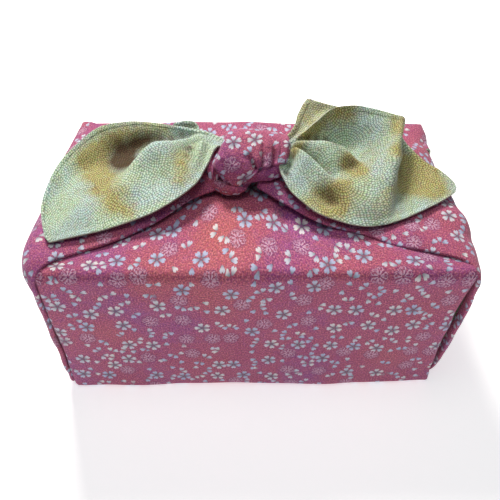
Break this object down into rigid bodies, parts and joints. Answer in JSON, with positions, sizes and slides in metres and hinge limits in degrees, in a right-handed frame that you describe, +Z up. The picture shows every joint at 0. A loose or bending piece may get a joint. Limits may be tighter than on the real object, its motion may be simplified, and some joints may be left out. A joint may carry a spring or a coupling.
{
  "type": "box wrapped in a furoshiki cloth",
  "caption": "Rectangular box wrapped in a square two-sided furoshiki cloth, folded up its ends and tied on top in a knot with two spread ears.",
  "frame": {"origin": "on the flat underside of the wrap, below the middle of the box", "axes": "+X along the wrap's length towards its shorter raised ear with the peak, -Y towards its front face, +Z up"},
  "size_m": [0.2511, 0.145, 0.1456],
  "materials": {
    "printed_cotton": "two-sided cotton: rose pink with small pale cherry blossoms outside, mint green with fans of small dots inside",
    "plain_card": "plain matt card, hidden by the cloth"
  },
  "bodies": {
    "root": {"cloth": "printed_cotton", "box": "plain_card"}
  },
  "joints": []
}
